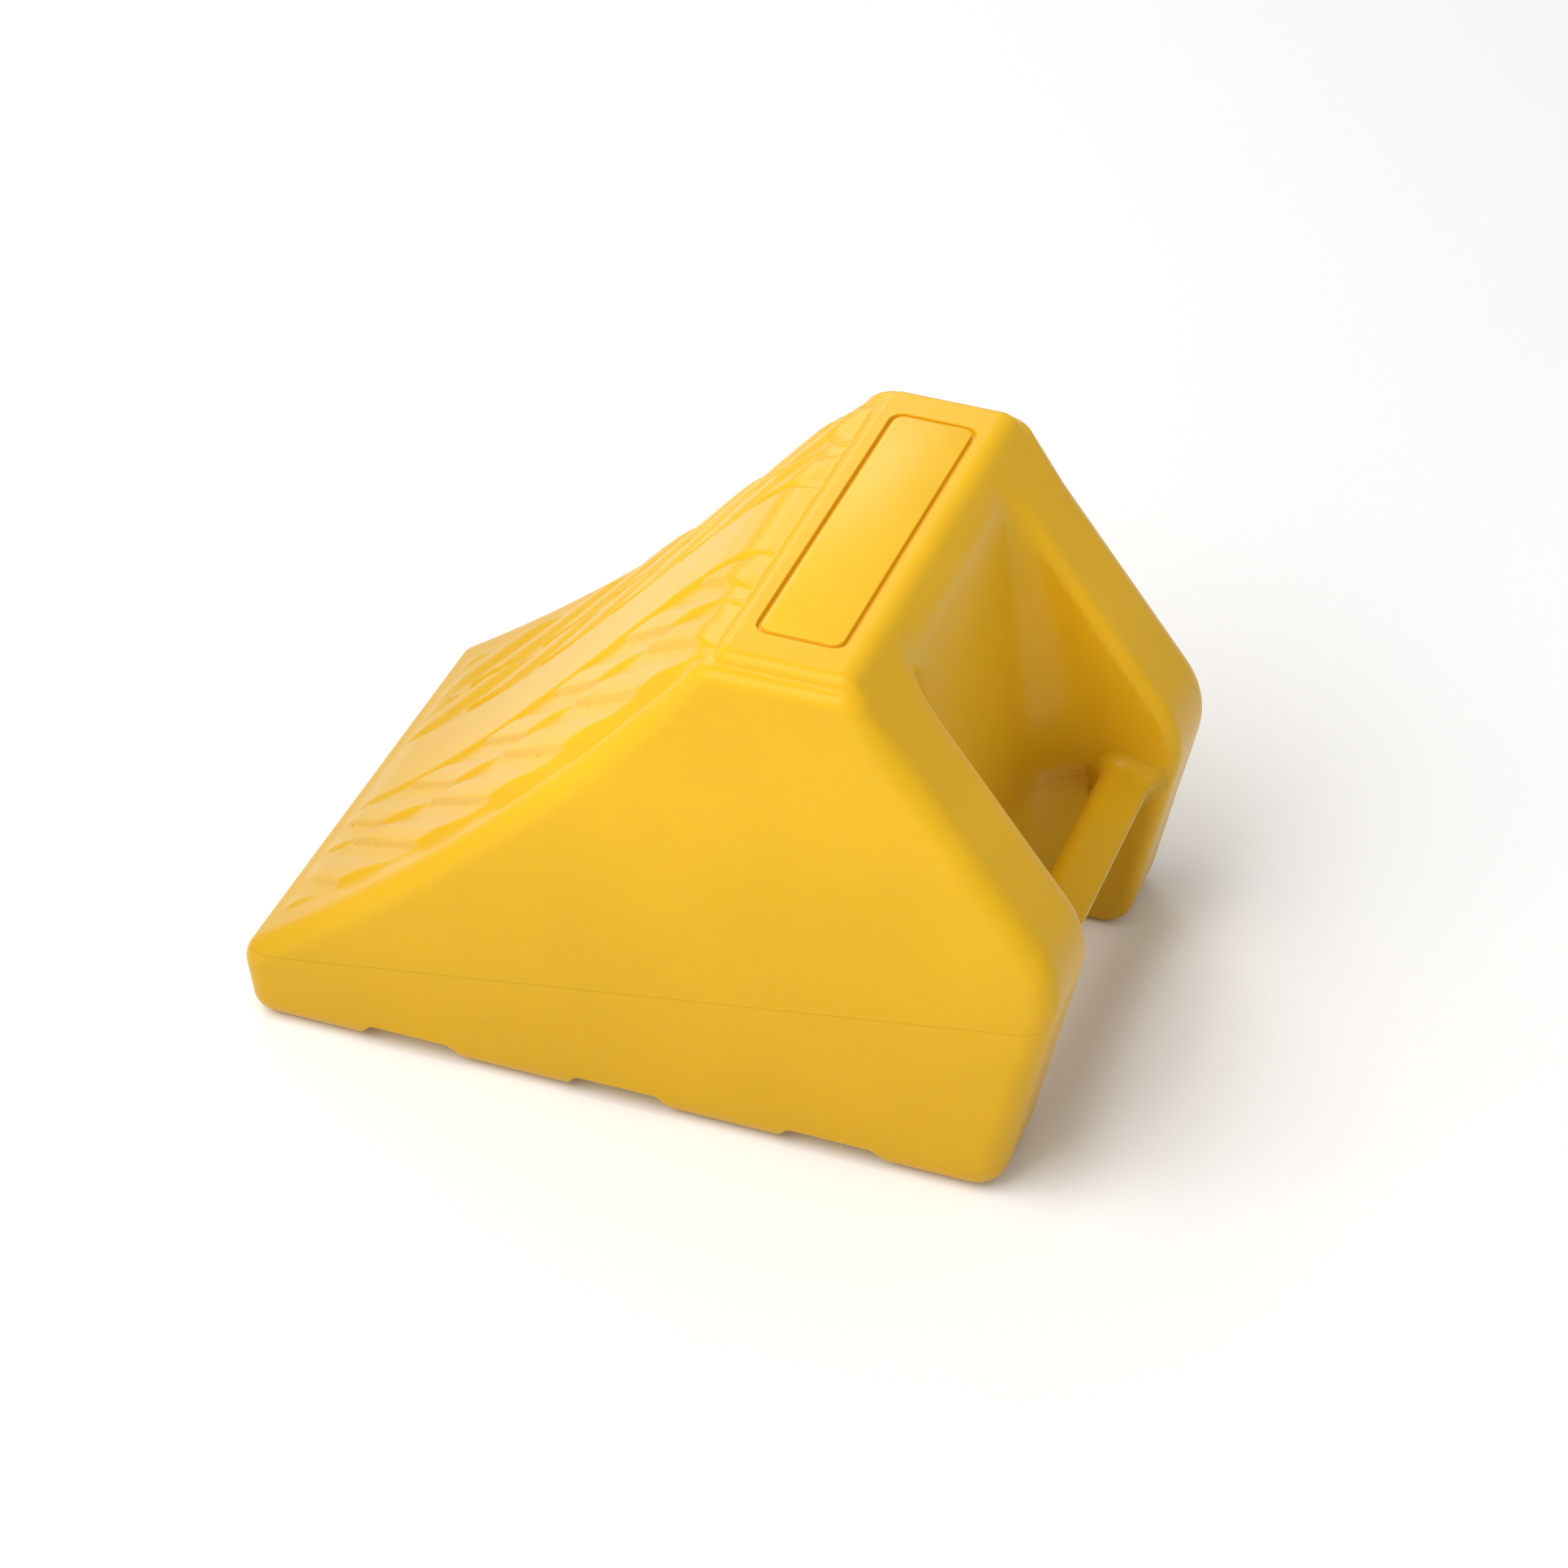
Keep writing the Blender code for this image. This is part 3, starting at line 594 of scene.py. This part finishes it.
mouth_depth, mouth_step = LABEL_MOUTH
cutter_levels = [(TOP_HEIGHT - LABEL_DEPTH, 0.0), (TOP_HEIGHT - mouth_depth, 0.0),
                 (TOP_HEIGHT, mouth_step), (TOP_HEIGHT + CUTTER_CLEARANCE, mouth_step)]
cutter = plate_mesh("label_cutter", cutter_levels, LABEL_GROOVE)
recess = upper.modifiers.new("recess", "BOOLEAN")
recess.operation = "DIFFERENCE"
recess.solver = "EXACT"
recess.object = cutter
cut_mesh = bpy.data.meshes.new_from_object(
    upper.evaluated_get(bpy.context.evaluated_depsgraph_get()))
upper.modifiers.clear()
upper.data = cut_mesh
bpy.data.objects.remove(cutter)

shade(upper, body, axes)
shade(base, body, axes)
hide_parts("upper_shell")
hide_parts("base_shell")

# Each pad's node, its place along X, and the side of the middle that is cut from it, if any.
PADS = [("ground_pad_nose", PAD_CENTRES[0], 0), ("ground_pad_front", PAD_CENTRES[1], 0),
        ("ground_pad_rear", PAD_CENTRES[2], 0), ("ground_pad_heel_left", PAD_CENTRES[3], 1),
        ("ground_pad_heel_right", PAD_CENTRES[3], -1)]
pads = []
for node, centre, cut_side in PADS:
    cuts = [(floor_point, up), (Vector((centre - PAD_REACH, 0, 0)), Vector((-1, 0, 0))),
            (Vector((centre + PAD_REACH, 0, 0)), Vector((1, 0, 0)))]
    if cut_side:
        cuts.append((Vector((0, 0, 0)), Vector((0, cut_side, 0))))
    pad = piece("chock_pad_" + node.split("pad_")[1], points, faces, cuts, pad_plastic)
    shade(pad, body, axes)
    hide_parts(node)
    pads.append(pad)

# ---- Grip bar and label plate -------------------------------------------------------------
bar_body, bar_axes = bar_field()
bar_points, bar_faces = field_mesh(bar_body, bar_axes, BAR_ADAPTIVITY)
bar = piece("chock_grip_bar", bar_points, bar_faces, [], shaded_bar_plastic)
shade(bar, bar_body, bar_axes)
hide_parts("grip_bar")

label_levels = [(TOP_HEIGHT - LABEL_DEPTH - LABEL_UNDERSIDE, 0.0), (TOP_HEIGHT - 0.45, 0.0),
                (TOP_HEIGHT - 0.12, -0.12), (TOP_HEIGHT, -0.45)]
label = plate_mesh("chock_label", label_levels, 0.0)
label.data.materials.append(label_plastic)
label.data.shade_smooth()
label.data.set_sharp_from_angle(angle=radians(50))
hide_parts("label_plate")

for thing in [upper, base, bar, label] + pads:
    to_metres(thing)
    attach(thing, "root")

for node, material in (("vent_plug", plug_rubber), ("load_rib_left", rib_plastic),
                       ("load_rib_right", rib_plastic), ("cross_rib_front", rib_plastic),
                       ("cross_rib_rear", rib_plastic)):
    for material_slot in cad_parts[node].material_slots:
        material_slot.material = material

# ---- Floor, light and camera --------------------------------------------------------------
FLOOR_HALF = 6
PAPER_WHITE = (0.96, 0.96, 0.96, 1.0)
SKY_COLOUR = (1.0, 0.99, 0.97, 1.0)
SKY_STRENGTH = 0.42
# Each area light: name, place, target, size and power, in metres and watts.
LIGHTS = [("key", (-0.9, -1.1, 2.1), (0, 0, 0.1), (2.0, 2.0), 42.0),
          ("fill", (-0.4, -2.4, 1.1), (0, 0, 0.1), (1.6, 1.0), 7.5),
          ("back", (-1.15, 1.9, 1.3), (0, 0, 0.15), (1.3, 0.8), 12.0),
          ("top", (-0.1, -0.1, 2.0), (0, 0, 0.2), (0.5, 0.5), 5.5),
          ("side", (2.2, -0.6, 1.6), (0, 0, 0.1), (1.8, 1.4), 2.5)]
CAMERA_AZIMUTH = radians(20.796)
CAMERA_ELEVATION = radians(38.524)
CAMERA_TARGET = Vector((0.0218, 0.0, 0.0829))
CAMERA_DISTANCE = 1.4756
CAMERA_LENS = 90.25

floor_material = bpy.data.materials.new("studio_paper")
floor_material.use_nodes = True
paper = floor_material.node_tree.nodes["Principled BSDF"]
paper.inputs["Base Color"].default_value = PAPER_WHITE
paper.inputs["Roughness"].default_value = 0.9
floor_mesh = bpy.data.meshes.new("studio_floor")
floor_corners = [(x * FLOOR_HALF, y * FLOOR_HALF, 0)
                 for x, y in ((-1, -1), (1, -1), (1, 1), (-1, 1))]
floor_mesh.from_pydata(floor_corners, [], [(0, 1, 2, 3)])
floor = bpy.data.objects.new("studio_floor", floor_mesh)
floor_mesh.materials.append(floor_material)
bpy.context.scene.collection.objects.link(floor)

bpy.context.scene.view_settings.view_transform = "Standard"
world = bpy.data.worlds.new("studio")
bpy.context.scene.world = world
world.use_nodes = True
sky = world.node_tree.nodes["Background"]
sky.inputs["Color"].default_value = SKY_COLOUR
sky.inputs["Strength"].default_value = SKY_STRENGTH

for name, place, target, size, power in LIGHTS:
    light_data = bpy.data.lights.new(name, "AREA")
    light_data.shape = "RECTANGLE"
    light_data.size, light_data.size_y = size
    light_data.energy = power
    light = bpy.data.objects.new(name, light_data)
    light.location = place
    light.rotation_euler = (Vector(target) - Vector(place)).to_track_quat("-Z", "Y").to_euler()
    bpy.context.scene.collection.objects.link(light)

back = Vector((sin(CAMERA_AZIMUTH) * cos(CAMERA_ELEVATION),
               -cos(CAMERA_AZIMUTH) * cos(CAMERA_ELEVATION), sin(CAMERA_ELEVATION)))
camera_data = bpy.data.cameras.new("camera")
camera_data.sensor_width = 36.0
camera_data.lens = CAMERA_LENS
camera_data.clip_start = 0.05
camera = bpy.data.objects.new("camera", camera_data)
camera.location = CAMERA_TARGET + back * CAMERA_DISTANCE
camera.rotation_euler = back.to_track_quat("Z", "Y").to_euler()
bpy.context.scene.collection.objects.link(camera)
bpy.context.scene.camera = camera
